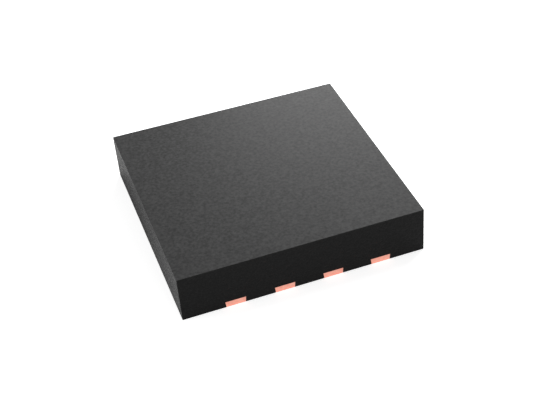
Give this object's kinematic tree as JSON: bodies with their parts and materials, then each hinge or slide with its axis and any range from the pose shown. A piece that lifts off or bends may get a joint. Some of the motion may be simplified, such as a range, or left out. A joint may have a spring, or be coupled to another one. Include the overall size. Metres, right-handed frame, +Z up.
{
  "type": "qfn chip",
  "caption": "Flat square no-lead chip package: black moulded body with copper leads along two opposite sides and a thermal pad underneath.",
  "frame": {"origin": "centre of the underside, in the soldering plane", "axes": "+Z up out of the bare top face; the two rows of leads run along X, with leads 1 to 4 in the -Y side from -X to +X and leads 5 to 8 in the +Y side from +X to -X"},
  "size_m": [0.004, 0.004, 0.0008],
  "materials": {
    "moulding_compound": "matte filled epoxy, finely grained on top and sawn smooth at the sides",
    "copper": "sawn bare copper at the side faces, matte tin on the soldered faces",
    "silver_epoxy": "silver-filled adhesive",
    "silicon": "polished",
    "gold": "drawn bright"
  },
  "bodies": {
    "root": {"moulded_body": "moulding_compound", "lead_1": "copper", "lead_2": "copper", "lead_3": "copper", "lead_4": "copper", "lead_5": "copper", "lead_6": "copper", "lead_7": "copper", "lead_8": "copper", "thermal_pad": "copper", "die_attach": "silver_epoxy", "silicon_die": "silicon", "bond_wire_1": "gold", "bond_wire_2": "gold", "bond_wire_3": "gold", "bond_wire_4": "gold", "bond_wire_5": "gold", "bond_wire_6": "gold", "bond_wire_7": "gold", "bond_wire_8": "gold"}
  },
  "joints": []
}
